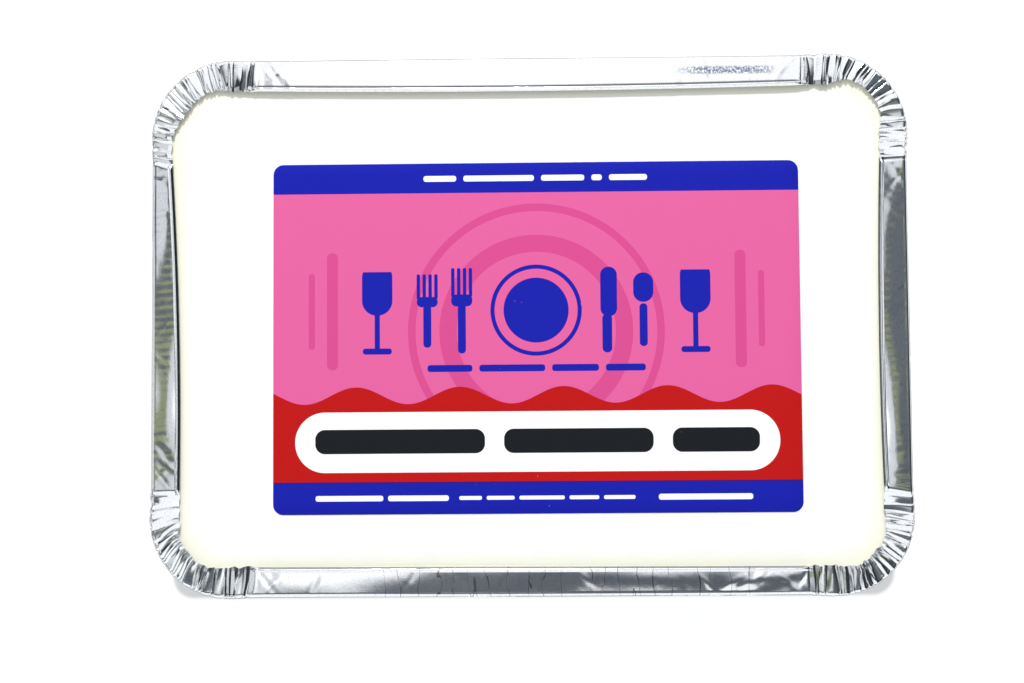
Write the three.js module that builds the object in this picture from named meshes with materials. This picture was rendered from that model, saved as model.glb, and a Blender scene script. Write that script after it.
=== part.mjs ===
// Foil tray meal: a shallow aluminium tray, filled to its ledge, with a white board lid on the
// ledge, the tray's rim folded in over the lid's edge, and a printed sticker on the lid.
// Millimetres, +Z up. The origin is under the middle of the base, +X runs along the long side
// and +Y points to the back.
import * as THREE from 'three';

// Rim, seen from above: half sizes and corner radius of its outer outline
const RIM = { halfLength: 109.6, halfWidth: 78, corner: 23.5 };

// Body below the rim
const WALL_TOP = { halfLength: 100.5, halfWidth: 69, corner: 18, z: 38 };
const WALL_FOOT = { halfLength: 92, halfWidth: 60.5, corner: 17, z: 2.8 };
const FOOT = { halfLength: 89.3, halfWidth: 57.8, corner: 15.5 };
const FOOT_BAND = 9;
const PANEL_RISE = 1;
const PANEL_SLOPE = 1.2;
const HEEL_DROP = 0.28;
const WALL_STEPS = 2;

// Lid board, lying on the ledge and the contents
const BED_Z = 39;
const LID = { thick: 0.8, fromRim: 2, arcSteps: 12 };
const SLOT_DEPTH = 1.4;
const SLOT_GAP = 0.3;

// Folded rim: its band's width at the two ends and the middle of each side, going round
// anticlockwise from the right side, and its mean width round each corner, back right first
const BAND = {
  right: [8.4, 9.2, 7.9],
  back: [9, 10, 9.1],
  left: [5.8, 8.4, 8.6],
  front: [8.9, 8.6, 8.4],
  corners: [5.8, 7.9, 7.3, 6.9],
};
const BEAD = 0.7;

// Gathered corners: pleats in each, how far they run on along the straights, how far the middle
// of each corner flares out beyond the outline, back right first, and the pleats' relief
const PLEATS = 28;
const RUN_ON = 9;
const FLARE = [1, 0.6, 0.7, 0.9];
const FACET = { narrowest: 0.3, spread: 1.9, taper: 0.6, leastInner: 0.15, looseInner: 0.4 };
const RAMP = 4.5;
const PLEAT_LOW = 0.22;
const PLEAT_HIGH = 0.66;
const JAG = 0.7;
const SCALLOP = 1.1;
const WALL_PLEAT = 1.3;

// Straight sides: columns of points along each, and the height of their slow waves
const SIDE_COLUMNS = { right: 6, back: 9, left: 6, front: 9 };
const WAVE = 0.16;

// Sticker on the lid, a little off the lid's middle
const LABEL = { length: 152.4, width: 101.6, corner: 3, thick: 0.2, x: 2.05, y: -3.55, arcSteps: 6 };

const COLOURS = { foil: 0xc8ced1, board: 0xf8f8f3, print: 0xe9639f };

const SIDES = ['right', 'back', 'left', 'front'];
const QUARTER = Math.PI / 2;
const ARC = RIM.corner * QUARTER;
const SIDE_RUN = {
  right: 2 * (RIM.halfWidth - RIM.corner),
  back: 2 * (RIM.halfLength - RIM.corner),
  left: 2 * (RIM.halfWidth - RIM.corner),
  front: 2 * (RIM.halfLength - RIM.corner),
};
const LOOP = 4 * ARC + SIDES.reduce((sum, side) => sum + SIDE_RUN[side], 0);

const mix = (a, b, t) => a + (b - a) * t;
const clamp01 = (t) => Math.min(1, Math.max(0, t));
const smooth = (t) => clamp01(t) ** 2 * (3 - 2 * clamp01(t));

// A repeatable number from 0 to 1 for item i of the draw with this salt
function draw(i, salt) {
  const wave = Math.sin(i * 12.9898 + salt * 78.233) * 43758.5453;
  return wave - Math.floor(wave);
}

// Where a distance along the rim's outline falls: on side k before its corner k, or in corner k.
// The outline starts where the right side starts, at the front right corner's end.
function locate(distance) {
  let rest = ((distance % LOOP) + LOOP) % LOOP;
  for (let k = 0; k < SIDES.length; k += 1) {
    const run = SIDE_RUN[SIDES[k]];
    if (rest < run) return { k, onCorner: false, part: rest / run };
    rest -= run;
    if (rest < ARC) return { k, onCorner: true, part: rest / ARC };
    rest -= ARC;
  }
  return { k: 0, onCorner: false, part: 0 };
}

// The point of a rounded rectangle in corner k at this angle
function cornerPoint(outline, k, angle) {
  const signX = k === 0 || k === 3 ? 1 : -1;
  const signY = k < 2 ? 1 : -1;
  const x = signX * (outline.halfLength - outline.corner) + outline.corner * Math.cos(angle);
  const y = signY * (outline.halfWidth - outline.corner) + outline.corner * Math.sin(angle);
  return [x, y];
}

// The point of a rounded rectangle that faces a place on the rim's outline
function outlinePoint(outline, distance) {
  const { k, onCorner, part } = locate(distance);
  if (onCorner) return cornerPoint(outline, k, (k + part) * QUARTER);
  const from = cornerPoint(outline, (k + 3) % 4, k * QUARTER);
  const to = cornerPoint(outline, k, k * QUARTER);
  return [mix(from[0], to[0], part), mix(from[1], to[1], part)];
}

// The rim's outline moved in by a distance
function rimInset(inset) {
  return {
    halfLength: RIM.halfLength - inset,
    halfWidth: RIM.halfWidth - inset,
    corner: RIM.corner - inset,
  };
}

// Width of the folded band: a parabola through three widths on a side, and a smooth change to
// the corner's width and on to the next side
function bandWidth(distance) {
  const { k, onCorner, part } = locate(distance);
  if (!onCorner) {
    const [start, middle, end] = BAND[SIDES[k]];
    return mix(start, end, part) + (4 * middle - 2 * start - 2 * end) * part * (1 - part);
  }
  const start = BAND[SIDES[k]][2];
  const end = BAND[SIDES[(k + 1) % 4]][0];
  const inCorner = smooth(3 * Math.min(part, 1 - part));
  return mix(mix(start, end, part), BAND.corners[k], inCorner);
}

// Running totals of a list of widths, scaled to end at the given total
function runningTotals(widths, total) {
  const sum = widths.reduce((a, b) => a + b, 0);
  let reached = 0;
  return widths.map((width) => {
    reached += width;
    return (reached / sum) * total;
  });
}

// The crease lines of a gathered corner. Each runs from a place on the outer edge to another on
// the inner edge, so the pleats lean and taper. Ridges and valleys take turns. The cube of a draw
// makes most facets narrow and a few of them wide.
function cornerColumns(k, start) {
  const count = 2 * PLEATS;
  const zone = ARC + 2 * RUN_ON;
  const steps = [...Array(count).keys()];
  const outerWidths = steps.map((i) => FACET.narrowest + FACET.spread * draw(i + k * count, 1) ** 3);
  const innerWidths = steps.map((i) => {
    const loose = FACET.leastInner + FACET.looseInner * draw(i + k * count, 2);
    return FACET.taper * outerWidths[i] + loose;
  });
  const outer = runningTotals(outerWidths, zone);
  const inner = runningTotals(innerWidths, zone);
  return steps.slice(0, -1).map((i) => {
    const height = mix(PLEAT_LOW, PLEAT_HIGH, draw(i + k * count, 3));
    const fromEnd = Math.min(outer[i], zone - outer[i]);
    const share = outer[i] / zone;
    return {
      outer: start + outer[i],
      inner: start + inner[i],
      gather: smooth(fromEnd / RAMP),
      relief: i % 2 ? -height : height,
      jag: JAG * (draw(i + k * count, 4) - 0.5),
      flare: FLARE[k] * 4 * share * (1 - share),
      wave: 0,
    };
  });
}

// The columns of a straight side, from the end of one gathered corner to the start of the next
function sideColumns(side, start, salt) {
  const run = SIDE_RUN[side] - 2 * RUN_ON;
  const count = SIDE_COLUMNS[side];
  return [...Array(count + 1).keys()].map((i) => {
    const at = start + (run * i) / count;
    const wave = WAVE * (2 * draw(i, salt) - 1);
    return { outer: at, inner: at, gather: 0, relief: 0, jag: 0, flare: 0, wave };
  });
}

// Every column of points round the tray, in order
function allColumns() {
  const columns = [];
  let reached = RUN_ON;
  SIDES.forEach((side, k) => {
    columns.push(...sideColumns(side, reached, 5 + k));
    reached += SIDE_RUN[side] - 2 * RUN_ON;
    columns.push(...cornerColumns(k, reached));
    reached += ARC + 2 * RUN_ON;
  });
  return columns;
}

// A ring of the body: a rounded rectangle at one height, pleated at the corners by a share
function bodyRing(columns, outline, z, share) {
  return columns.map((column) => {
    const push = share * WALL_PLEAT * column.relief * column.gather;
    const pushed = {
      halfLength: outline.halfLength + push,
      halfWidth: outline.halfWidth + push,
      corner: outline.corner + push,
    };
    return [...outlinePoint(pushed, column.outer), z];
  });
}

// A ring of the folded rim. across goes from 0 at the outer edge to 1 at the band's inner edge,
// shift moves it further in, z is its height on a straight side and in a gathered corner, and
// pleat, scallop and jag say how much of each of these it takes.
function rimRing(columns, { across = 0, shift = 0, z, pleat = 0, scallop = 0, jag = 0 }) {
  return columns.map((column) => {
    const at = mix(column.outer, column.inner, across);
    const dip = scallop * (SCALLOP * Math.max(0, -column.relief) - column.flare);
    const inset = across * bandWidth(at) + shift + (dip + jag * column.jag) * column.gather;
    const level = mix(z[0], z[1], column.gather);
    const rise = pleat * (column.relief * column.gather + column.wave);
    return [...outlinePoint(rimInset(inset), at), level + rise];
  });
}

// Outline between two others
function between(low, high, t) {
  return {
    halfLength: mix(low.halfLength, high.halfLength, t),
    halfWidth: mix(low.halfWidth, high.halfWidth, t),
    corner: mix(low.corner, high.corner, t),
  };
}

// Outline moved in by a distance, with its corners kept round
function inset(outline, by) {
  return {
    halfLength: outline.halfLength - by,
    halfWidth: outline.halfWidth - by,
    corner: Math.max(outline.corner - by, 0.4 * outline.corner),
  };
}

// Rings of the base and the walls, from the raised panel out and up to the ledge
function bodyRings(columns) {
  const rings = [
    bodyRing(columns, inset(FOOT, FOOT_BAND + PANEL_SLOPE), PANEL_RISE, 0),
    bodyRing(columns, inset(FOOT, FOOT_BAND), 0, 0),
    bodyRing(columns, FOOT, 0, 0),
    bodyRing(columns, between(FOOT, WALL_FOOT, 1 - HEEL_DROP), WALL_FOOT.z * HEEL_DROP, 0),
  ];
  for (let i = 0; i <= WALL_STEPS; i += 1) {
    const t = i / WALL_STEPS;
    rings.push(bodyRing(columns, between(WALL_FOOT, WALL_TOP, t), mix(WALL_FOOT.z, WALL_TOP.z, t), t));
  }
  return rings;
}

// Rings of the rim, from under the ledge, over the fold to the bead at its inner edge, and back
// along its underside to the slot that holds the lid
function rimRings(columns) {
  const lidTop = BED_Z + LID.thick;
  const under = lidTop + SLOT_GAP;
  return [
    { shift: 1.2, z: [38.3, 38.3] },
    { shift: 0.15, z: [39, 39], scallop: 1 },
    { z: [40.1, 40.1], scallop: 1 },
    { shift: 0.4, z: [40.85, 40.75], scallop: 1, pleat: 0.3 },
    { shift: 1.3, z: [41.1, 41], scallop: 0.6, pleat: 0.6 },
    { across: 0.5, z: [41.2, 41.05], pleat: 0.9 },
    { across: 1, shift: -2 * BEAD, z: [41.25, 41.05], pleat: 1, jag: 1 },
    { across: 1, shift: -BEAD, z: [41.85, 41.05], pleat: 0.95, jag: 1 },
    { across: 1, z: [41.4, 40.75], pleat: 0.5, jag: 1 },
    { across: 1, shift: -BEAD, z: [40.8, under], jag: 1 },
    { shift: SLOT_DEPTH, z: [under, under] },
    { shift: SLOT_DEPTH, z: [BED_Z, BED_Z] },
  ].map((row) => rimRing(columns, row));
}

// A closed solid from rings that all have the same count of points, with a fan at each end
function solidFromRings(rings) {
  const count = rings[0].length;
  const points = rings.flat();
  const bottom = points.push([0, 0, rings[0][0][2]]) - 1;
  const top = points.push([0, 0, rings.at(-1)[0][2]]) - 1;
  const last = (rings.length - 1) * count;
  const faces = [];
  for (let i = 0; i < count; i += 1) {
    const next = (i + 1) % count;
    faces.push(bottom, next, i, top, last + i, last + next);
    for (let j = 0; j < last; j += count) {
      faces.push(j + i, j + next, j + count + next);
      faces.push(j + i, j + count + next, j + count + i);
    }
  }
  const geometry = new THREE.BufferGeometry();
  geometry.setAttribute('position', new THREE.Float32BufferAttribute(points.flat(), 3));
  geometry.setIndex(faces);
  geometry.computeVertexNormals();
  return geometry;
}

// A flat plate with round corners, its middle at the origin and its lower face at z = 0
function roundedPlate({ halfLength, halfWidth, corner, thick, arcSteps }) {
  const shape = new THREE.Shape();
  for (let k = 0; k < 4; k += 1) {
    for (let i = 0; i <= arcSteps; i += 1) {
      const [x, y] = cornerPoint({ halfLength, halfWidth, corner }, k, (k + i / arcSteps) * QUARTER);
      if (k + i) shape.lineTo(x, y);
      else shape.moveTo(x, y);
    }
  }
  return new THREE.ExtrudeGeometry(shape, { depth: thick, bevelEnabled: false });
}

function makeTray() {
  const columns = allColumns();
  const geometry = solidFromRings([...bodyRings(columns), ...rimRings(columns)]);
  const foil = { name: 'foil', color: COLOURS.foil, roughness: 0.3, metalness: 1 };
  const mesh = new THREE.Mesh(geometry, new THREE.MeshStandardMaterial(foil));
  mesh.name = 'tray';
  return mesh;
}

function makeLid() {
  const geometry = roundedPlate({ ...rimInset(LID.fromRim), thick: LID.thick, arcSteps: LID.arcSteps });
  const board = { name: 'board', color: COLOURS.board, roughness: 0.8, metalness: 0 };
  const mesh = new THREE.Mesh(geometry, new THREE.MeshStandardMaterial(board));
  mesh.name = 'lid';
  mesh.position.set(0, 0, BED_Z);
  return mesh;
}

function makeLabel() {
  const geometry = roundedPlate({ ...LABEL, halfLength: LABEL.length / 2, halfWidth: LABEL.width / 2 });
  const print = { name: 'print', color: COLOURS.print, roughness: 0.45, metalness: 0 };
  const mesh = new THREE.Mesh(geometry, new THREE.MeshStandardMaterial(print));
  mesh.name = 'label';
  mesh.position.set(LABEL.x, LABEL.y, BED_Z + LID.thick);
  return mesh;
}

const foilTrayMeal = new THREE.Group();
foilTrayMeal.name = 'foil_tray_meal';
foilTrayMeal.add(makeTray(), makeLid(), makeLabel());

export default foilTrayMeal;
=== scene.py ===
# %% [markdown]
# # A foil tray meal, closed with a board lid
#
# The object is a stock aluminium tray. Its upright rim has been folded in over a white board
# lid, and a printed sticker lies on the lid. The frame below is the plain solid model of the
# same pack, at its real size in metres. Each solid gets a finer surface here: the foil with its
# pleats and dents, the board, and the print. Every surface is a function of two parameters
# worked out on a numpy grid, because a gathered foil edge is a rule with chance in it, and a
# rule is easier to tune than a sculpt.

# %% Load the frame
import math

import bpy
import numpy as np
from mathutils import Matrix, Vector


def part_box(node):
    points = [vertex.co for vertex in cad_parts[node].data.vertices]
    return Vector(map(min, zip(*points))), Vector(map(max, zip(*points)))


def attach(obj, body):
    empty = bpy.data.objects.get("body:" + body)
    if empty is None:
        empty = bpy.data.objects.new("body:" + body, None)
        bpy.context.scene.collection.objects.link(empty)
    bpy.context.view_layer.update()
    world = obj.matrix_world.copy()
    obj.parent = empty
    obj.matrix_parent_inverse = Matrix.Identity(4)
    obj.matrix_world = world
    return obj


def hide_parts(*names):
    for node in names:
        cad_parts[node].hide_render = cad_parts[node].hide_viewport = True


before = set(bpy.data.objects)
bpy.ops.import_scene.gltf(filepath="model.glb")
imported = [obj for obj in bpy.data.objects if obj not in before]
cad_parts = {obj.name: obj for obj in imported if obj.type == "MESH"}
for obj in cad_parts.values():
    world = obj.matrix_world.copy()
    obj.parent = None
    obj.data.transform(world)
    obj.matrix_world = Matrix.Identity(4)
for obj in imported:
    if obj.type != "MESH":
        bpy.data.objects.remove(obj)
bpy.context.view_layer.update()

# %% [markdown]
# ## Sizes
#
# The outer sizes come from the frame. What the frame's boxes don't say, such as the corner
# radius, the width of the folded band and how far it tilts, is named here in millimetres. Each
# side has three widths and seven tilts along it, going round anticlockwise from the right side's
# front end, and each corner has one of both. A tilt is a slope: how much the band falls towards
# the outer edge for each millimetre.

# %% Sizes
MM = 0.001
TRAY_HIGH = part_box("tray")[1]
LID_LOW, LID_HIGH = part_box("lid")
LABEL_LOW, LABEL_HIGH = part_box("label")
LID_FROM_RIM = 2.0
RIM_LENGTH = LID_HIGH.x / MM + LID_FROM_RIM
RIM_WIDTH = LID_HIGH.y / MM + LID_FROM_RIM
RIM_TOP = TRAY_HIGH.z / MM
RIM_CORNER = 23.5
BED = LID_LOW.z / MM
LID_TOP = LID_HIGH.z / MM
SIDES = ("right", "back", "left", "front")
BAND = {
    "right": (8.4, 9.2, 7.9),
    "back": (9.0, 10.0, 9.1),
    "left": (5.8, 8.4, 8.6),
    "front": (8.9, 8.6, 8.4),
}
BAND_AT_CORNER = np.array((5.8, 7.9, 7.3, 6.9))
TILT = {
    "right": (0.03, 0.04, 0.06, 0.09, 0.09, 0.05, -0.03),
    "back": (0.05, 0.05, 0.04, 0.05, 0.06, 0.05, 0.05),
    "left": (0.145, 0.135, 0.07, 0.05, 0.05, 0.03, 0.0),
    "front": (-0.04, -0.02, 0.06, 0.09, 0.09, 0.08, 0.02),
}
TILT_AT_CORNER = np.array((0.06, 0.06, 0.09, 0.09))
print("rim", round(2 * RIM_LENGTH, 1), "x", round(2 * RIM_WIDTH, 1), "mm, lid top at", round(LID_TOP, 2))

# %% [markdown]
# ## Places round the rim
#
# A place on the rim is one number, the distance in millimetres along its outer outline,
# anticlockwise from the front end of the right side. Eight pieces follow each other: a straight
# side, then the corner after it, four times. One formula serves them all: an arc about a centre
# that slides along a side and stands still in a corner.

# %% The rounded rectangle as a function
ARC = RIM_CORNER * math.pi / 2
LONG_RUN = 2 * (RIM_LENGTH - RIM_CORNER)
SHORT_RUN = 2 * (RIM_WIDTH - RIM_CORNER)
RUNS = np.array([SHORT_RUN, ARC, LONG_RUN, ARC] * 2)
ENDS = np.cumsum(RUNS)
LOOP = ENDS[-1]
CORNER_X = np.array([1, -1, -1, 1])
CORNER_Y = np.array([1, 1, -1, -1])


def mix(a, b, t):
    """a where t is 0, b where t is 1, and on the straight line between them elsewhere."""
    return a + (b - a) * t


def smooth(t):
    """An S-shaped step: 0 up to t = 0, 1 from t = 1, and 3t^2 - 2t^3 between."""
    t = np.clip(t, 0.0, 1.0)
    return t * t * (3.0 - 2.0 * t)


def locate(distance):
    """Which of the eight pieces each distance falls in, and how far along it, from 0 to 1."""
    rest = np.mod(distance, LOOP)
    piece = np.minimum(np.searchsorted(ENDS, rest, side="right"), len(RUNS) - 1)
    return piece, (rest - (ENDS - RUNS)[piece]) / RUNS[piece]


def outline_point(half_length, half_width, corner, distance):
    """x and y of a rounded rectangle at a place: centre + radius times (cos, sin) of the angle.
    On a side the centre slides from one corner's centre to the next at a fixed angle, and in a
    corner the centre stands still and the angle runs through a quarter turn."""
    piece, part = locate(distance)
    k = piece // 2
    in_corner = piece % 2 == 1
    angle = (k + np.where(in_corner, part, 0.0)) * math.pi / 2
    slide = np.where(in_corner, 1.0, part)
    centre_x = mix(CORNER_X[k - 1], CORNER_X[k], slide) * (half_length - corner)
    centre_y = mix(CORNER_Y[k - 1], CORNER_Y[k], slide) * (half_width - corner)
    return centre_x + corner * np.cos(angle), centre_y + corner * np.sin(angle)


print("outline", round(LOOP, 1), "mm round")

# %% Width and tilt of the band
def band_width(distance):
    """Width of the folded band. On a side it is the parabola through three widths: the chord
    plus (4 middle - 2 start - 2 end) t (1 - t). In a corner it changes to the corner's width
    and on to the next side's."""
    piece, part = locate(distance)
    k = piece // 2
    ends = np.array([BAND[side] for side in SIDES])
    start, middle, end = ends[k, 0], ends[k, 1], ends[k, 2]
    on_side = mix(start, end, part) + (4 * middle - 2 * start - 2 * end) * part * (1 - part)
    to_next = mix(end, ends[(k + 1) % 4, 0], part)
    through = mix(to_next, BAND_AT_CORNER[k], smooth(3 * np.minimum(part, 1 - part)))
    return np.where(piece % 2 == 1, through, on_side)


def band_tilt(distance):
    """Slope of the band across. On a side it goes through the side's list of slopes at an even
    pitch, with the S-shaped step between neighbours, and in a corner from the last of them to
    the corner's own slope and on to the next side's first."""
    slopes = np.array([TILT[side] for side in SIDES])
    piece, part = locate(distance)
    k = piece // 2
    at = part * (slopes.shape[1] - 1)
    low = np.minimum(np.floor(at).astype(int), slopes.shape[1] - 2)
    on_side = mix(slopes[k, low], slopes[k, low + 1], smooth(at - low))
    to_next = mix(slopes[k, -1], slopes[(k + 1) % 4, 0], smooth(part))
    through = mix(to_next, TILT_AT_CORNER[k], smooth(4 * np.minimum(part, 1 - part)))
    return np.where(piece % 2 == 1, through, on_side)


print("band widths where the sides start", band_width(ENDS[::2] - RUNS[::2]).round(1))

# %% [markdown]
# ## Chance that repeats
#
# Crumpled foil needs random numbers, but the same ones on each run. The fraction of a large sine
# is the usual rule for that, and it takes whole arrays.

# %% Seeded draws
def draw(index, salt):
    """The fraction of sin(12.9898 i + 78.233 salt) times 43758.5453: a number from 0 to 1.
    Every use has a salt of its own, so no two uses share their draws."""
    wave = np.sin(np.asarray(index, float) * 12.9898 + salt * 78.233) * 43758.5453
    return wave - np.floor(wave)


def slow_noise(distance, pitch, salt):
    """A smooth random curve round the rim: one draw every pitch millimetres, and the S-shaped
    step between neighbours. The count of draws is whole, so the curve closes on itself."""
    count = max(3, round(LOOP / pitch))
    at = np.mod(distance, LOOP) / LOOP * count
    low = np.floor(at).astype(int)
    return 2 * mix(draw(low % count, salt), draw((low + 1) % count, salt), smooth(at - low)) - 1


def wave(distance, height, pitch, salt):
    """A slow noise of a given height. A wave is named below by these three numbers."""
    return height * slow_noise(distance, pitch, salt)


print("first draws", draw(np.arange(4), 1).round(3))

# %% [markdown]
# ## The crease lines of a gathered corner
#
# When a flat rim is bent round a corner and pressed in, the spare foil gathers into pleats. Each
# crease is a line across the band, from a place on the outer edge to another on the inner edge.
# The two places come from separate running totals of random widths, so the pleats lean, taper
# and never cross. The cube of a draw makes most facets narrow and a few of them wide, as in real
# gathered foil. Ridges and valleys take turns. The plain solid's pleats follow the same draws, so
# both models crease at the same places. They run on a little way along the straights.

# %% Crease lines
PLEATS = 28
RUN_ON = 9.0
PLEAT_LOW, PLEAT_HIGH = 0.22, 0.66
NARROW_HEIGHT = 0.08
STEEPEST = 0.38
LEAST_WIDTH = 0.3
WIDTH_RANGE = 1.9
INNER_SHARE = 0.6
INNER_LEAST = 0.15
INNER_RANGE = 0.4


def corner_creases(k):
    """Corner k's creases: outer and inner places, ridge or valley heights, and ragged ends. A
    crease with little room beside it stays low, so that no facet is too steep."""
    count = 2 * PLEATS
    start = ENDS[2 * k] - RUN_ON
    zone = ARC + 2 * RUN_ON
    item = np.arange(count) + k * count
    outer_width = LEAST_WIDTH + WIDTH_RANGE * draw(item, 1) ** 3
    inner_width = INNER_SHARE * outer_width + INNER_LEAST + INNER_RANGE * draw(item, 2)
    outer = np.cumsum(outer_width) / outer_width.sum() * zone
    inner = np.cumsum(inner_width) / inner_width.sum() * zone
    room = np.minimum(outer_width, np.roll(outer_width, -1)) / outer_width.sum() * zone
    height = np.minimum(mix(PLEAT_LOW, PLEAT_HIGH, draw(item, 3)), NARROW_HEIGHT + STEEPEST * room)
    height = height * np.where(np.arange(count) % 2, -1, 1)
    jag = draw(item, 4) - 0.5
    keep = slice(0, count - 1)
    return {
        "outer": start + np.r_[0, outer[keep], zone],
        "inner": start + np.r_[0, inner[keep], zone],
        "height": np.r_[0, height[keep], 0],
        "jag": np.r_[0, jag[keep], 0],
    }


CREASES = [corner_creases(k) for k in range(4)]
print("creases in a corner", len(CREASES[0]["outer"]))

# %% [markdown]
# ## Columns of points
#
# The grid's columns follow the creases, so that each crease is a real edge of the mesh and stays
# sharp. Every facet between two creases gets a few more columns for its own bends: a small fold
# and a bow. The straights get columns at an even pitch. Over the first few millimetres of a
# corner's stretch the gather fades in, and towards its middle the rim flares out a little.

# %% Columns
PER_FACET = 5
SIDE_PITCH = 0.55
# The slope of a facet's own fold and of its bow, and the facet's width past which neither grows.
FOLD_SLOPE, FOLD_WIDTH = 0.12, 1.6
BOW_SLOPE, BOW_WIDTH = 0.08, 2.0
FADE_IN = 4.5
FLARE = (1.0, 0.6, 0.7, 0.9)


def facet_columns(k):
    """Columns of corner k. Each is a share t of the way from one crease to the next, and takes
    the two creases' values mixed by t. Its facet's own fold is a tent over t, and its bow is the
    parabola 4 t (1 - t). The flare is the same parabola over the whole corner."""
    crease = CREASES[k]
    facets = len(crease["outer"]) - 1
    share = np.arange(PER_FACET) / PER_FACET
    low = np.repeat(np.arange(facets), PER_FACET)
    t = np.tile(share, facets)
    item = low + k * facets
    peak = (2 + np.floor(3 * draw(item, 11))) / PER_FACET
    tent = np.minimum(t / peak, (1 - t) / (1 - peak))
    spread = crease["outer"][low + 1] - crease["outer"][low]
    columns = {key: mix(crease[key][low], crease[key][low + 1], t) for key in crease}
    columns["fold"] = tent * np.minimum(spread, FOLD_WIDTH) * FOLD_SLOPE * (2 * draw(item, 12) - 1)
    columns["bow"] = 4 * t * (1 - t) * np.minimum(spread, BOW_WIDTH) * BOW_SLOPE * (2 * draw(item, 13) - 1)
    first, last = crease["outer"][[0, -1]]
    from_end = np.minimum(columns["outer"] - first, last - columns["outer"])
    columns["gather"] = smooth(from_end / FADE_IN)
    part = (columns["outer"] - first) / (last - first)
    columns["flare"] = FLARE[k] * 4 * part * (1 - part)
    return columns


def side_columns(k):
    """Columns of the straight that runs up to corner k's first crease."""
    start = CREASES[k - 1]["outer"][-1] - (LOOP if k == 0 else 0)
    end = CREASES[k]["outer"][0]
    count = round((end - start) / SIDE_PITCH)
    at = start + (end - start) * np.arange(count) / count
    columns = {key: np.zeros(count) for key in ("height", "jag", "fold", "bow", "gather", "flare")}
    return {"outer": at, "inner": at, **columns}


def all_columns():
    """Every column round the rim in order: a side, its corner, and so on."""
    parts = [make(k) for k in range(4) for make in (side_columns, facet_columns)]
    return {key: np.concatenate([part[key] for part in parts]) for key in parts[0]}


COLUMNS = all_columns()
print("columns", len(COLUMNS["outer"]))

# %% [markdown]
# ## The section of the folded rim
#
# Cut across, the rim rises from under the ledge, turns over in a tight bend, runs in as a band
# and ends in a rolled bead, then comes back underneath to the slot that holds the lid. Round the
# corners the bead is pressed flat and the band ends in the ragged ends of the pleats. A row of
# the grid is one point of that section. `across` is its share of the band's width, and `shift`
# its distance beyond that, once for a straight and once for a corner. The other numbers are the
# row's shares of what is added to it later: the tilt, the pleats, the ragged ends, the scallops
# of the outer edge, and the painted shade line: on the bead's flank, and on the fold beside it for the
# back.

# %% Rows of the rim
# bead and crease are the rows' shares of the painted shade line: on the bead's flank, and on the fold at
# the back.
ROW_KEYS = ("across", "shift", "z", "corner_shift", "corner_z",
            "tilt", "pleat", "jag", "scallop", "bead", "crease")


def rows(count, **ends):
    """A stretch of the section: each value runs evenly from its first to its second number."""
    t = np.arange(count) / count
    table = {key: np.zeros(count) for key in ROW_KEYS}
    for key, (first, second) in ends.items():
        table[key] = mix(first, second, t)
    return table


def arc_rows(count, centre, radius, degrees, **ends):
    """A bend of the section: shift and z go round an ellipse about the centre."""
    table = rows(count, **ends)
    angle = np.radians(mix(degrees[0], degrees[1], np.arange(count) / count))
    table["shift"] = centre[0] + radius[0] * np.cos(angle)
    table["z"] = centre[1] + radius[1] * np.sin(angle)
    return table


def plain_rows(count, shift, z, **ends):
    """A stretch that runs the same way round a corner as along a straight."""
    return rows(count, shift=shift, z=z, corner_shift=shift, corner_z=z, **ends)


print("numbers in a row", len(ROW_KEYS))

# %% The section in order
BEND = (1.25, 39.7)
BEND_SIZE = (1.25, 1.42)
BEND_ROWS = 10
BAND_Z = BEND[1] + BEND_SIZE[1]
BAND_END = (-1.56, BAND_Z + 0.12)
CREST = (-0.80, 41.46)
CREST_RADIUS = 0.38
CREST_ROWS = 6
CORNER_DROP = 0.1
CORNER_Z = 41.02
CORNER_END = (-1.2, -0.8)
LIP = 0.34
LEDGE_FROM = 3.2
LEDGE_Z = BEND[1] - BEND_SIZE[1] + 0.03
SLOT_SHIFT = 1.4
SLOT_TOP = LID_TOP + 0.25
FOOT_SHIFT = 1.6
# The bead's inner flank, point by point: shift, z, the corner's shift, and its share of the lip.
FLANK = np.array((
    (-0.53, 41.73, 0.0, 0.0),
    (-0.28, 41.48, 0.0, 0.1),
    (-0.03, 41.22, 0.0, 0.35),
    (0.0, 41.06, -0.04, 0.7),
    (-0.05, 40.9, -0.1, 0.95),
    (-0.2, 40.78, -0.2, 1.0),
))
BACK_FROM = (-0.4, 40.7)


def rim_edge():
    """From the ledge's underside round the bend to the top of the outer edge. Round a corner
    the bend's top lies a little lower."""
    ledge = plain_rows(2, (LEDGE_FROM, BEND[0]), (LEDGE_Z,) * 2, scallop=(0, 0.6))
    bend = arc_rows(BEND_ROWS, BEND, BEND_SIZE, (270, 90), pleat=(0, 0.6), scallop=(0.6, 1), tilt=(0, 1))
    bend["corner_shift"] = bend["shift"]
    bend["corner_z"] = bend["z"] - CORNER_DROP * smooth(np.arange(BEND_ROWS) / BEND_ROWS)
    return ledge, bend


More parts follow.
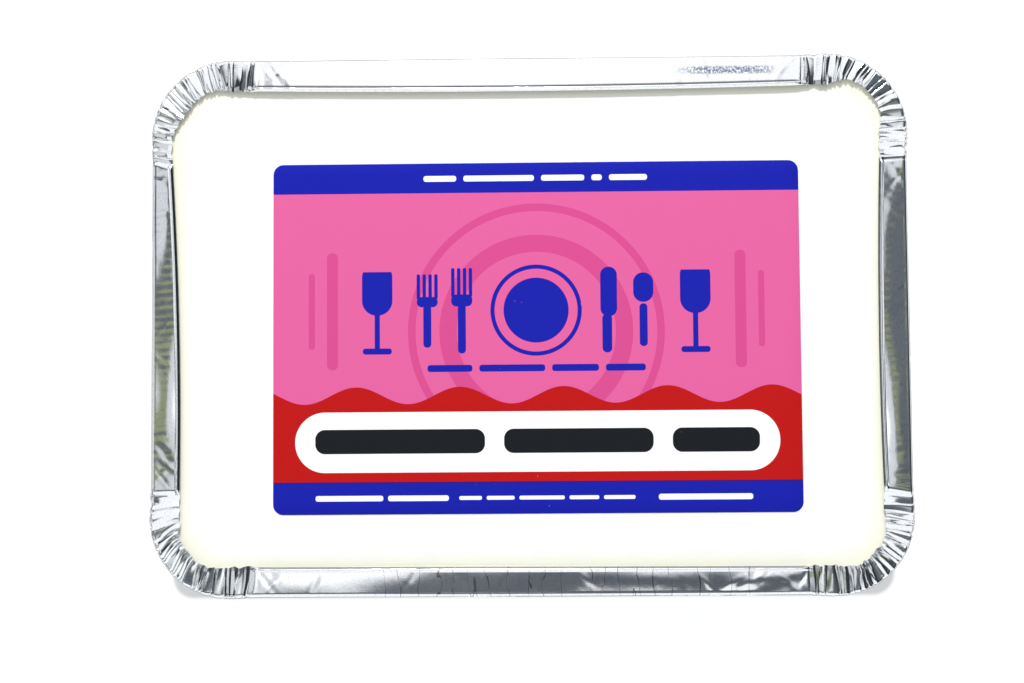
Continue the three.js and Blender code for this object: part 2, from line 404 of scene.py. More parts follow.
def band_and_bead():
    """In along the band, up the fold, over the bead's crest and down its flank. Round a corner
    the same rows lie flat and end in a rounded lip."""
    band = rows(14, across=(0, 1), shift=(BEND[0], BAND_END[0]), z=(BAND_Z, BAND_END[1]),
                corner_shift=(BEND[0], CORNER_END[0]), corner_z=(BAND_Z - CORNER_DROP, CORNER_Z),
                tilt=(1, 0), pleat=(0.6, 1), jag=(0, 1), scallop=(0.8, 0))
    whole = {"across": (1, 1), "pleat": (1, 1), "jag": (1, 1)}
    diagonal = CREST_RADIUS * math.sqrt(0.5)
    climb = rows(3, shift=(BAND_END[0], CREST[0] - diagonal), z=(BAND_END[1], CREST[1] + diagonal),
                 corner_shift=CORNER_END, corner_z=(CORNER_Z,) * 2, crease=(1, 1), **whole)
    crest = arc_rows(CREST_ROWS, CREST, (CREST_RADIUS,) * 2, (135, 45), corner_shift=(CORNER_END[1], 0.0),
                     corner_z=(CORNER_Z,) * 2, **whole)
    flank = rows(len(FLANK), bead=(1, 1), **whole)
    flank["shift"], flank["z"], flank["corner_shift"], lip_share = FLANK.T
    flank["corner_z"] = CORNER_Z - LIP * lip_share
    return band, climb, crest, flank


def underside():
    """Back out under the band, down the slot's wall, and into the ledge."""
    back = rows(3, across=(1, 0), shift=(BACK_FROM[0], SLOT_SHIFT), z=(BACK_FROM[1], SLOT_TOP),
                corner_shift=(FLANK[-1, 2], SLOT_SHIFT), corner_z=(CORNER_Z - LIP, SLOT_TOP),
                pleat=(1, 0), jag=(1, 0))
    slot = plain_rows(2, (SLOT_SHIFT,) * 2, (SLOT_TOP, BED + 0.02))
    foot = plain_rows(1, (FOOT_SHIFT,) * 2, (BED - 0.25,) * 2)
    return back, slot, foot


def section_rows():
    """The whole section in order."""
    parts = (*rim_edge(), *band_and_bead(), *underside())
    return {key: np.concatenate([part[key] for part in parts]) for key in ROW_KEYS}


SECTION = section_rows()
print("rows", len(SECTION["z"]))

# %% [markdown]
# ## Dents, wrinkles and stray creases
#
# The straights of the band aren't flat: they are slightly crowned, and a thumb has pressed them
# over the lid. Slow waves and a few deeper dents bend the reflections, fine ripples from the
# rolling run across the band, and stray creases cut it at a slant, most of them near the gathered
# corners. Each is a small formula on the place and the share across, added to the height.

# %% Stray creases
STRAYS = 26
STRAY_NEAR = 16.0
STRAY_LEAN = 7.0
STRAY_WIDTH = (0.7, 2.6)
STRAY_HEIGHT = (0.03, 0.2)
SHORT_SIDE_SHARE = 0.45


def stray_creases(place, across):
    """Sum of slanted tents: each is a height times 1 - |distance to its line| / width, which
    fades out towards the far edge of the band. Seven in ten lie within STRAY_NEAR of a corner's
    pleats, and those on the two short sides are lower."""
    item = np.arange(STRAYS * 4)
    k = item % 4
    near_end = draw(item, 21) < 0.7
    reach = RUNS[2 * k] - 2 * RUN_ON
    offset = np.where(near_end, STRAY_NEAR * draw(item, 22) ** 1.5, reach * draw(item, 22))
    offset = np.where(draw(item, 23) < 0.5, offset, reach - offset)
    line = ENDS[2 * k] - RUNS[2 * k] + RUN_ON + offset
    lean = STRAY_LEAN * (2 * draw(item, 24) - 1)
    width = mix(*STRAY_WIDTH, draw(item, 25))
    height = mix(*STRAY_HEIGHT, draw(item, 26) ** 2) * np.where(draw(item, 27) < 0.5, -1, 1)
    height = height * np.where(k % 2 == 0, SHORT_SIDE_SHARE, 1.0)
    from_inner = draw(item, 28) < 0.5
    total = np.zeros(np.broadcast(place, across).shape)
    for i in item:
        off = np.mod(place - line[i] - lean[i] * (across - 0.5) + LOOP / 2, LOOP) - LOOP / 2
        tent = np.clip(1 - np.abs(off) / width[i], 0, 1)
        fade = smooth(across * 1.6) if from_inner[i] else smooth((1 - across) * 1.6)
        total += height[i] * tent * fade
    return total


print("stray creases", 4 * STRAYS)

# %% Dents and ripples
CROWN = 0.09
# Each thumb dent: its side, its share of the way along it, then height, length and slant.
THUMB_DENTS = (
    ("front", 0.86, 0.26, 5.0, 9.0),
    ("front", 0.94, -0.24, 4.0, 8.0),
    ("front", 0.07, 0.08, 7.0, -6.0),
    ("right", 0.92, -0.12, 7.0, -9.0),
    ("right", 0.2, 0.07, 8.0, 5.0),
    ("left", 0.72, 0.05, 9.0, 5.0),
    ("left", 0.97, -0.1, 4.0, 4.0),
    ("back", 0.2, 0.1, 9.0, 6.0),
    ("back", 0.66, -0.08, 11.0, -7.0),
)
LONG_WAVE = (0.1, 24, 31)
SHORT_WAVE = (0.04, 9, 32)
LEAN_WAVE = (0.1, 13, 33)
SMALL_WAVE = (0.012, 2.4, 34)
PHASE_WAVE = (0.5, 8, 36)
RIPPLE_PITCH = 2.3
RIPPLE = {"right": 0.006, "back": 0.002, "left": 0.012, "front": 0.003}


def thumb_dents(place, across):
    """Sum of slanted bells: height times exp(-(distance along / length)^2)."""
    total = np.zeros(np.broadcast(place, across).shape)
    for side, share, height, length, slant in THUMB_DENTS:
        k = SIDES.index(side)
        centre = ENDS[2 * k] - RUNS[2 * k] * (1 - share)
        off = (place - centre - slant * (across - 0.5)) / length
        total += height * np.exp(-off * off)
    return total


def dents(place, across):
    """The crown, a parabola, and slow waves and dents that are deepest at the band's middle;
    then a slow lean, small random ripples, and the rolling's even ripple."""
    a = np.clip(across, 0, 1)
    waves = wave(place, *LONG_WAVE) + wave(place, *SHORT_WAVE)
    deep = (waves + thumb_dents(place, across)) * np.sin(np.pi * a)
    lean = wave(place + 5 * across, *LEAN_WAVE) * (across - 0.5)
    small = wave(place + 0.6 * across, *SMALL_WAVE) * smooth(slow_noise(place, 30, 35) + 0.6)
    piece = locate(place)[0]
    even = np.array([RIPPLE[side] for side in SIDES])[piece // 2] * (piece % 2 == 0)
    phase = place + wave(place, *PHASE_WAVE) + 0.4 * across
    ripple = even * np.sin(2 * np.pi * phase / RIPPLE_PITCH)
    return 4 * CROWN * a * (1 - a) + deep + lean + small + ripple


print("thumb dents", len(THUMB_DENTS))

# %% [markdown]
# ## The rim as one closed surface
#
# The rows and columns meet in one array. The inset from the outer edge is `across` times the
# band's width plus the shift, and the place slides from the outer crease point to the inner one.
# The grid closes both ways, like a ring, so there is no open edge. Each corner of each face also
# stores its place on the sheet, so that the foil's fine creases can follow the band: the distance
# along, the distance across, and 1 on the line of painted shade beside the bead. On three sides
# that line is the bead's knurled flank, and at the back it is the fold between the band and the bead.

# %% Mesh helpers
def sharpen(mesh, degrees):
    """Smooth shading everywhere, but a crisp edge where two faces meet at more than this."""
    mesh.shade_smooth()
    mesh.set_sharp_from_angle(angle=math.radians(degrees))


def ring_faces(row_count, column_count, close_rows):
    """Quads between neighbours of a grid that closes along its columns, and maybe its rows."""
    row = np.arange(row_count if close_rows else row_count - 1)[:, None]
    column = np.arange(column_count)[None, :]
    up = (row + 1) % row_count
    along = (column + 1) % column_count
    corners = [row * column_count + column, row * column_count + along, up * column_count + along,
               up * column_count + column]
    return np.stack(corners, axis=-1).reshape(-1, 4)


def capped(grid):
    """A stack of rings as one closed skin: quads between the rings and a fan on each end."""
    rings, count = grid.shape[:2]
    points = np.vstack([grid.reshape(-1, 3), grid[0].mean(0), grid[-1].mean(0)])
    here = np.arange(count)
    along = (here + 1) % count
    top = (rings - 1) * count
    bottom_fan = np.stack([np.full(count, len(points) - 2), along, here], axis=-1)
    top_fan = np.stack([np.full(count, len(points) - 1), top + here, top + along], axis=-1)
    return points, ring_faces(rings, count, close_rows=False), np.vstack([bottom_fan, top_fan])


def add_piece(name, points, quads, triangles=None):
    """A mesh object from an (n, 3) array in millimetres, with quads and maybe triangles."""
    triangles = np.zeros((0, 3), int) if triangles is None else triangles
    loops = np.concatenate([quads.ravel(), triangles.ravel()]).astype(np.int32)
    sizes = np.concatenate([np.full(len(quads), 4), np.full(len(triangles), 3)])
    mesh = bpy.data.meshes.new(name)
    mesh.vertices.add(len(points))
    mesh.vertices.foreach_set("co", (points * MM).astype(np.float32).ravel())
    mesh.loops.add(len(loops))
    mesh.loops.foreach_set("vertex_index", loops)
    mesh.polygons.add(len(sizes))
    mesh.polygons.foreach_set("loop_start", (np.cumsum(sizes) - sizes).astype(np.int32))
    mesh.update(calc_edges=True)
    mesh.validate()
    piece = bpy.data.objects.new(name, mesh)
    bpy.context.scene.collection.objects.link(piece)
    return piece


print("faces of a 2 x 4 ring", len(ring_faces(2, 4, close_rows=False)))

# %% The folded rim
SCALLOP = 1.1
RAGGED = 0.75
CORNER_CALM = 0.85
OVER_LID = 0.12
CRISP_RIM = 27
# How dark the painted shade line on the bead's flank is, where the painted shade in the fold beside it, at
# the back, counts as 1.
PAINTED_BEAD_SHADE = 0.6


def rim_grid():
    """x, y and z of every point of the rim, rows first, and each point's inset. The height is
    the section's, less the band's tilt, plus the pleats in the corners and the dents on the
    straights, each scaled by the row's own share."""
    row = {key: values[:, None] for key, values in SECTION.items()}
    column = {key: values[None, :] for key, values in COLUMNS.items()}
    gather = column["gather"]
    across = row["across"]
    sway = 0.5 * np.sin(np.pi * across) * column["jag"]
    place = mix(column["outer"], column["inner"], across) + sway * gather
    width = band_width(place)
    shift = mix(row["shift"], row["corner_shift"], gather)
    dip = row["scallop"] * (SCALLOP * np.maximum(0, -column["height"]) - column["flare"])
    inset = across * width + shift + (dip + RAGGED * row["jag"] * column["jag"]) * gather
    level = mix(row["z"], row["corner_z"], gather) - band_tilt(place) * width * row["tilt"]
    pleat = (column["height"] + column["fold"] + column["bow"]) * gather
    strays = stray_creases(place, across) * (1 - gather)
    rise = row["pleat"] * (pleat + strays + dents(place, across) * (1 - CORNER_CALM * gather))
    x, y = outline_point(RIM_LENGTH - inset, RIM_WIDTH - inset, RIM_CORNER - inset, place)
    least = np.where(row["jag"] > 0, LID_TOP + OVER_LID, np.where(row["tilt"] > 0, BEND[1], 0))
    z = np.clip(level + rise, least, RIM_TOP)
    return np.stack([x, y, np.broadcast_to(z, x.shape)], axis=-1), inset


def store_sheet(mesh, quads, along, inset, rows_of_bead_shade, rows_of_fold_shade):
    """Stores (along, across, line) on each face corner, where line, the share of painted shade, comes
    from the one list of rows at the back and from the other elsewhere. Past the last column the
    distance along goes on counting, so that no pattern jumps there."""
    count = len(along)
    column = quads % count
    wraps = (column[:, :1] == count - 1) & (column == 0)
    row = quads // count
    line = np.where(locate(along)[0][column] == 2, rows_of_fold_shade[row], rows_of_bead_shade[row])
    line = line * (1 - COLUMNS["gather"][column])
    values = np.stack([along[column] + LOOP * wraps, inset.ravel()[quads], line], axis=-1)
    attribute = mesh.attributes.new("sheet", "FLOAT_VECTOR", "CORNER")
    attribute.data.foreach_set("vector", values.astype(np.float32).ravel())


grid, inset = rim_grid()
quads = ring_faces(*grid.shape[:2], close_rows=True)
rim = add_piece("folded_rim", grid.reshape(-1, 3), quads)
store_sheet(rim.data, quads, COLUMNS["outer"], inset, PAINTED_BEAD_SHADE * SECTION["bead"], SECTION["crease"])
sharpen(rim.data, CRISP_RIM)
print("rim faces", len(rim.data.polygons), "highest", round(grid[..., 2].max(), 2))

# %% [markdown]
# ## The tray's body
#
# Below the ledge the same sheet of foil goes down as walls. The pleats of the corners run on
# down the corner walls and die out towards the base, because the sheet had to gather there too
# when it was pressed. The base stands on a flat band round a slightly raised panel.

# %% Outlines of the body
WALL = {"top": (100.5, 69.0, 18.0), "foot": (92.0, 60.5, 17.0), "stand": (89.3, 57.8, 15.5)}
WALL_TOP_Z = 38.0
WALL_FOOT_Z = 2.8
FOOT_BAND = 9.0
PANEL_SLOPE = 1.2
PANEL_RISE = 1.0


def outline_rows(first, last, z_first, z_last, count, bulge=0.0, pleats=(0.0, 0.0)):
    """Rows between two outlines. A bulge pushes the middle of the stretch out and down."""
    t = np.linspace(0, 1, count, endpoint=False)[:, None]
    sizes = mix(np.array(first)[None], np.array(last)[None], t)
    push = bulge * np.sin(np.pi * t)
    return np.hstack([sizes + push, mix(z_first, z_last, t) - push, mix(pleats[0], pleats[1], t)])


def inset_outline(outline, by):
    """The outline moved in, with its corners kept round."""
    return outline[0] - by, outline[1] - by, max(outline[2] - by, 0.4 * outline[2])


print("wall slope", [round((top - foot) / (WALL_TOP_Z - WALL_FOOT_Z), 2) for top, foot in
                     zip(WALL["top"][:2], WALL["foot"][:2])])

# %% The body
HEEL_BULGE = 0.45
LEDGE_INSET = 1.9
LEDGE_RISE = 0.35
MIDDLE_SHARE = 0.04
WALL_PLEAT = 1.3
WALL_WAVE = (0.25, 30, 41)
WALL_WRINKLE = (0.1, 11, 42)
DIMPLE = 0.04
BODY_STEP = 2
CRISP_BODY = 30


def body_grid():
    """The base from its middle out, the heel, the wall up to the ledge, and the ledge's
    underside and top. A row is an outline, a height and a share of the corner pleats. The walls
    sway by slow noise, and the base's panel is dimpled by sines of x and y that bend each other."""
    panel = inset_outline(WALL["stand"], FOOT_BAND + PANEL_SLOPE)
    stand = inset_outline(WALL["stand"], FOOT_BAND)
    ledge_edge = tuple(size - LEDGE_INSET for size in (RIM_LENGTH, RIM_WIDTH, RIM_CORNER))
    ledge_z = WALL_TOP_Z + LEDGE_RISE
    middle = tuple(MIDDLE_SHARE * size for size in panel)
    table = np.vstack([
        outline_rows(middle, panel, PANEL_RISE, PANEL_RISE, 14),
        outline_rows(panel, stand, PANEL_RISE, 0, 3),
        outline_rows(stand, WALL["stand"], 0, 0, 4),
        outline_rows(WALL["stand"], WALL["foot"], 0, WALL_FOOT_Z, 6, bulge=HEEL_BULGE),
        outline_rows(WALL["foot"], WALL["top"], WALL_FOOT_Z, WALL_TOP_Z, 26, pleats=(0.0, 1.0)),
        outline_rows(WALL["top"], ledge_edge, WALL_TOP_Z, ledge_z, 5, pleats=(1.0, 0.5)),
        outline_rows(ledge_edge, ledge_edge, ledge_z, BED - 0.1, 1),
        outline_rows(ledge_edge, middle, BED - 0.05, BED - 0.05, 3),
    ])
    size_x, size_y, corner, z, share = (table[:, i:i + 1] for i in range(5))
    column = {key: values[None, ::BODY_STEP] for key, values in COLUMNS.items()}
    pleat = (column["height"] + 0.6 * column["fold"]) * column["gather"] * WALL_PLEAT * share
    place = column["outer"]
    sway = wave(place, *WALL_WAVE) + wave(place + 0.4 * z, *WALL_WRINKLE)
    wall = smooth((z - WALL_FOOT_Z) / 6) * smooth((WALL_TOP_Z - z) / 3)
    push = pleat + sway * wall
    x, y = outline_point(size_x + push, size_y + push, corner + push, place)
    waves = np.sin(x / 5.0 + 1.4 * np.sin(y / 7.0)) + np.sin(y / 6.0 + 1.7 * np.sin(x / 8.0))
    dimple = DIMPLE * waves * (z > 0.9 * PANEL_RISE) * (z < 1.1 * PANEL_RISE)
    return np.stack([x, y, np.broadcast_to(z + dimple, x.shape)], axis=-1)


body = add_piece("tray_body", *capped(body_grid()))
sharpen(body.data, CRISP_BODY)
print("body faces", len(body.data.polygons))

# %% [markdown]
# ## Lid and sticker
#
# The lid is a plate of coated board, held in the slot under the band. Pressing the rim over it
# has bowed it by a fraction of a millimetre. The sticker is a thinner plate that follows it. A
# rounded rectangle shrunk towards its middle, ring by ring, gives both.

# %% Plates
FACE_RINGS = 15
EDGE_RINGS = 7
ROUND_STEPS = 360


def plate_grid(half_length, half_width, corner, low, high, rounding, centre=(0.0, 0.0)):
    """Rings of a thin plate: out along the lower face, up the edge with its corners rounded
    off, and back in along the upper face. low and high give each face's height at x, y."""
    reach = np.linspace(0.05, 1, FACE_RINGS + 1)[:-1]
    turn = np.radians(np.linspace(-90, 90, EDGE_RINGS))
    none = np.zeros(FACE_RINGS)
    inset = np.concatenate([none, rounding * (1 - np.cos(turn)), none])[:, None]
    scale = np.concatenate([reach, np.ones(EDGE_RINGS), reach[::-1]])[:, None]
    lift = np.concatenate([none, (1 + np.sin(turn)) / 2, none + 1])[:, None]
    place = np.linspace(0, LOOP, ROUND_STEPS, endpoint=False)[None, :]
    shape = [(size - inset) * scale for size in (half_length, half_width, corner)]
    x, y = outline_point(*shape, place)
    x, y = x + centre[0], y + centre[1]
    return np.stack([x, y, mix(low(x, y), high(x, y), lift)], axis=-1)


print("rings of a plate", 2 * FACE_RINGS + EDGE_RINGS)

# %% Lid and sticker
BOW = 0.12
BOW_REACH = (100, 68)
LID_SINK = 0.02
LID_ROUNDING = 0.12
LABEL_THICK = 0.14
LABEL_CORNER = 3.0
LABEL_ROUNDING = 0.05
CRISP_PLATE = 40
LABEL_HALF = [(high - low) / 2 / MM for low, high in zip(LABEL_LOW.xy, LABEL_HIGH.xy)]
LABEL_CENTRE = [(high + low) / 2 / MM for low, high in zip(LABEL_LOW.xy, LABEL_HIGH.xy)]


def lid_top(x, y):
    """The board's upper face: highest by the bow at its middle, and level at the slot. The dome
    is a quarter wave of x times one of y."""
    share_x, share_y = (np.clip(value / reach, -1, 1) for value, reach in zip((x, y), BOW_REACH))
    return LID_TOP - LID_SINK + BOW * (np.cos(np.pi / 2 * share_x) * np.cos(np.pi / 2 * share_y))


def lid_base(x, y):
    """The board's lower face, flat on the ledge."""
    return np.full_like(x, BED)


def label_top(x, y):
    """The sticker's upper face, its thickness over the board."""
    return lid_top(x, y) + LABEL_THICK


lid_size = (LID_HIGH.x / MM, LID_HIGH.y / MM, RIM_CORNER - LID_FROM_RIM)
lid = add_piece("board_lid", *capped(plate_grid(*lid_size, lid_base, lid_top, LID_ROUNDING)))
label_grid = plate_grid(*LABEL_HALF, LABEL_CORNER, lid_top, label_top, LABEL_ROUNDING, LABEL_CENTRE)
label = add_piece("sticker", *capped(label_grid))
sharpen(lid.data, CRISP_PLATE)
sharpen(label.data, CRISP_PLATE)
print("sticker", [round(2 * s, 1) for s in LABEL_HALF], "centre", [round(c, 2) for c in LABEL_CENTRE])

# %% [markdown]
# ## Writing shader maths as expressions
#
# A pattern such as the print's wavy edge is a formula. A small class wraps a node's output, so
# that `1 - mask` or `x * 2 + y` adds the Math nodes by itself. Any other node comes from one
# method, which sets the node's settings first and its sockets after.

# %% Wires
class Wire:
    """A number that changes over a surface, or a colour or vector on its way to another node.
    Python's operators on a number add Math nodes."""

    def __init__(self, tree, socket):
        self.tree = tree
        self.socket = socket

    def math(self, operation, *values):
        return add_node(self.tree, "ShaderNodeMath", {"operation": operation}, list(values))

    def __add__(self, other):
        return self.math("ADD", self, other)

    def __sub__(self, other):
        return self.math("SUBTRACT", self, other)

    def __rsub__(self, other):
        return self.math("SUBTRACT", other, self)

    def __mul__(self, other):
        return self.math("MULTIPLY", self, other)

    def __truediv__(self, other):
        return self.math("DIVIDE", self, other)

    def __abs__(self):
        return self.math("ABSOLUTE", self)

    __radd__ = __add__
    __rmul__ = __mul__

    def at_least(self, other):
        return self.math("MAXIMUM", self, other)

    def at_most(self, other):
        return self.math("MINIMUM", self, other)

    def sine(self):
        return self.math("SINE", self)

    def power(self, exponent):
        return self.math("POWER", self, exponent)

    def step(self, low, high):
        """0 below low, 1 above high, and an S-shaped rise between; high may be the lower."""
        settings = {"interpolation_type": "SMOOTHSTEP"}
        return add_node(self.tree, "ShaderNodeMapRange", settings, [self, low, high, 0.0, 1.0])


# %% Nodes
def add_node(tree, kind, settings=None, inputs=(), output=0):
    """One node. settings, such as a Math node's operation, are set first. inputs is a list, or
    a dictionary by socket name, of wires, numbers and tuples. Returns the numbered output."""
    node = tree.nodes.new(kind)
    for key, value in (settings or {}).items():
        setattr(node, key, value)
    pairs = inputs.items() if isinstance(inputs, dict) else enumerate(inputs)
    for key, value in pairs:
        if isinstance(value, Wire):
            tree.links.new(value.socket, node.inputs[key])
        else:
            node.inputs[key].default_value = value
    return Wire(tree, node.outputs[output])


def paint(tree, factor, under_colour, over_colour):
    """The Mix node in colour: over_colour where factor is 1."""
    colours = [c if isinstance(c, Wire) else (*c, 1.0) for c in (under_colour, over_colour)]
    settings = {"data_type": "RGBA"}
    return add_node(tree, "ShaderNodeMix", settings, {0: factor, 6: colours[0], 7: colours[1]}, output=2)


def split(tree, vector):
    """The three numbers of a vector, each as a wire."""
    return [add_node(tree, "ShaderNodeSeparateXYZ", inputs=[vector], output=i) for i in range(3)]


def length(x, y):
    """Length of the vector (x, y): the square root of x^2 + y^2."""
    return (x * x + y * y).power(0.5)


def inside_bar(x, y, half_length, half_height, radius):
    """How far a point is inside a bar with rounded ends about the origin, below zero outside:
    the radius less the length of what is left beyond the bar's core."""
    out_x = (abs(x) - (half_length - radius)).at_least(0.0)
    out_y = (abs(y) - (half_height - radius)).at_least(0.0)
    return radius - length(out_x, out_y)


print("node helpers ready")

# %% Finishes
class Finish:
    """A material whose shader is set up from plain values and wires."""

    def __init__(self, name, **values):
        self.material = bpy.data.materials.new(name)
        self.material.use_nodes = True
        self.tree = self.material.node_tree
        self.shader = self.tree.nodes["Principled BSDF"]
        self.set(**values)

    def set(self, **values):
        """Sets sockets by name, with _ for a space: wires are linked, and numbers and colours
        are set on the shader itself."""
        for key, value in values.items():
            socket = self.shader.inputs[key.replace("_", " ").title().replace("Ior", "IOR")]
            if isinstance(value, Wire):
                self.tree.links.new(value.socket, socket)
            else:
                socket.default_value = value

    def axes(self):
        """x, y and z of a point in the object's own space, in millimetres."""
        at = add_node(self.tree, "ShaderNodeTexCoord", output=3)
        return [part * (1 / MM) for part in split(self.tree, at)]

    def join(self, x, y, z):
        """A vector from three wires or numbers."""
        return add_node(self.tree, "ShaderNodeCombineXYZ", inputs=[x, y, z])

    def noise(self, vector, scale, detail, roughness):
        """Soft noise from 0 to 1."""
        values = {"Vector": vector, "Scale": scale, "Detail": detail, "Roughness": roughness}
        return add_node(self.tree, "ShaderNodeTexNoise", inputs=values)

    def bump(self, height):
        """A Bump node on the shader's normal, with its height in millimetres."""
        values = {"Strength": 1.0, "Distance": MM, "Height": height}
        self.set(normal=add_node(self.tree, "ShaderNodeBump", inputs=values))


print("finishes ready")

# %% [markdown]
# ## Foil
#
# Rolled aluminium is a mirror with a fine grain along the rolling direction, and thin foil picks
# up shallow crumples wherever it's handled. The metal's colour is a little duller at random
# places. The roughness changes, a little, and the bump: fine lines and shallow crumples. On the
# rim, hairline creases run across the front's band where the sheet was bent, and are darkened with
# painted shade; the bead is knurled, and its flank, and at the back the fold beside it, carry a
# line of painted shade; and the back has a painted bluish reflection where the foil is rougher.
# Those follow the band, so they read the place that each face corner stores.

# %% Foil of the body
FOIL = (0.88, 0.895, 0.91)
DULL_BODY, DULL_RIM = (tuple(share * c for c in FOIL) for share in (0.93, 0.88))
# How fast the grain changes along the rolling direction, which is x, and across it.
GRAIN = (0.05, 2.5)
CELL_FOLD = 0.03


def foil_finish(name, grain, crumple):
    """Metal with its rolling lines and crumples, two noises with heights in millimetres. Returns
    the finish, the point, the sum of those heights, and a slow noise for wear."""
    finish = Finish(name, metallic=1.0)
    x, y, z = finish.axes()
    at = finish.join(x, y, z)
    lines = finish.noise(finish.join(x * GRAIN[0], y * GRAIN[1], z * GRAIN[1]), 1.0, 3.0, 0.6)
    soft = finish.noise(at, 0.35, 2.0, 0.5)
    worn = finish.noise(at, 0.9, 4.0, 0.6)
    return finish, at, lines * grain + soft * crumple, worn


def body_foil():
    """The walls and the base: deeper crumples, and folds along the edges of random cells."""
    finish, at, height, worn = foil_finish("rolled_foil_body", 0.003, 0.08)
    cells = add_node(finish.tree, "ShaderNodeTexVoronoi", {"feature": "DISTANCE_TO_EDGE"},
                     {"Vector": at, "Scale": 0.3})
    folds = 1 - cells.step(0.0, 0.15)
    tint = paint(finish.tree, worn.step(0.3, 0.75), DULL_BODY, FOIL)
    finish.set(base_color=tint, roughness=0.14 + worn * 0.12)
    finish.bump(height + folds * CELL_FOLD)
    return finish.material


body.data.materials.append(body_foil())
print("body foil nodes", len(body.data.materials[0].node_tree.nodes))

# %% Foil of the rim
# A painted bluish reflection on the back band, in a patch where the foil is also rougher.
PAINTED_BLUISH_REFLECTION = (0.15, 0.17, 0.26)
# The dark colour of painted shade, in the hairline creases, on the bead's flank and in the fold beside it.
PAINTED_SHADE_DARK = (0.05, 0.055, 0.06)
STREAK_HEIGHT = 0.008
SPECKLE_HEIGHT = 0.004
KNURL_PITCH = 0.6
KNURL_HEIGHT = 0.012
HAIRLINE_DEPTH = 0.006
# How much the hairline creases are darkened with painted shade.
HAIRLINE_PAINTED_SHADE = 0.55
HAIRLINE_TURN = 1.2
HAIRLINE_STRAY = 16.0
FRONT_MIDDLE = ENDS[5] + RUNS[6] / 2 + 11.0
FRONT_REACH = 58.0
REFLECTION_PATCH_MIDDLE = (ENDS[1] + 28.0, 4.3)
REFLECTION_PATCH_REACH = (18.0, 1.7)


def rim_foil():
    """The folded band. Streaks and speckle are noises that are long across or along it. The
    hairlines are the crests of a sine along the front, whose phase strays with a noise, darkened
    with painted shade. The knurl is a sine along the bead, whose flank gets a line of painted shade,
    and the painted bluish reflection, where the foil is also rougher, is a streaky noise inside a
    soft-edged patch."""
    finish, _, height, worn = foil_finish("rolled_foil_rim", 0.0016, 0.02)
    sheet = add_node(finish.tree, "ShaderNodeAttribute", {"attribute_name": "sheet"}, output=1)
    along, across, line = split(finish.tree, sheet)
    streaks = finish.noise(finish.join(along * 1.3, across * 0.1, 0.0), 1.0, 2.0, 0.5)
    speckle = finish.noise(finish.join(along * 0.9, across * 3.6, 5.0), 1.0, 3.0, 0.65)
    phase = finish.noise(finish.join(along * 0.16, across * 0.05, 9.0), 1.0, 2.0, 0.6) * HAIRLINE_STRAY
    on_front = (abs(along - FRONT_MIDDLE) / FRONT_REACH).step(1.0, 0.85) * streaks.step(0.36, 0.44)
    hairlines = (along * HAIRLINE_TURN + phase).sine().step(0.982, 0.995) * on_front
    knurl = (along * (2 * math.pi / KNURL_PITCH)).sine()
    height = height + streaks * STREAK_HEIGHT + speckle * SPECKLE_HEIGHT
    height = height - hairlines * HAIRLINE_DEPTH + knurl * line * KNURL_HEIGHT
    patch_along = (abs(along - REFLECTION_PATCH_MIDDLE[0]) / REFLECTION_PATCH_REACH[0]).step(1.0, 0.4)
    patch_across = (abs(across - REFLECTION_PATCH_MIDDLE[1]) / REFLECTION_PATCH_REACH[1]).step(1.0, 0.3)
    streaky = finish.noise(finish.join(along * 1.6, across * 1.4, 3.0), 1.0, 3.0, 0.7)
    rough_reflection_patch = (patch_along * patch_across * streaky.step(0.38, 0.56)).at_most(1.0)
    tint = paint(finish.tree, speckle.step(0.32, 0.62), DULL_RIM, FOIL)
    # Painted shade: the hairline creases are darkened in the colour.
    tint = paint(finish.tree, hairlines * HAIRLINE_PAINTED_SHADE, tint, PAINTED_SHADE_DARK)
    # Painted shade: a dark line on the bead's knurled flank, and at the back on the fold beside it.
    tint = paint(finish.tree, line * (0.85 - knurl * 0.15), tint, PAINTED_SHADE_DARK)
    # Painted reflection: a dark bluish patch on the back band, where the roughness also rises.
    tint = paint(finish.tree, rough_reflection_patch, tint, PAINTED_BLUISH_REFLECTION)
    finish.set(base_color=tint, roughness=0.08 + worn * 0.08 + rough_reflection_patch * 0.15)
    finish.bump(height)
    return finish.material


rim.data.materials.append(rim_foil())
print("rim foil nodes", len(rim.data.materials[0].node_tree.nodes))

# %% [markdown]
# ## Board
#
# The lid is white coated board: matt, with a painted warm shade near its edge, and sparse grey
# fibres and specks under the coating.

# %% Board finish
RIM_SHADE_REACH = 13.5
RIM_SHADE_FADE = 5.0
BOARD_SHADE = (0.87, 0.87, 0.845)
BOARD_WHITE = (0.90, 0.90, 0.875)
PAINTED_RIM_SHADE_CREAM = (0.88, 0.87, 0.71)
FIBRE_GREY = (0.45, 0.47, 0.50)
TOOTH = 0.006


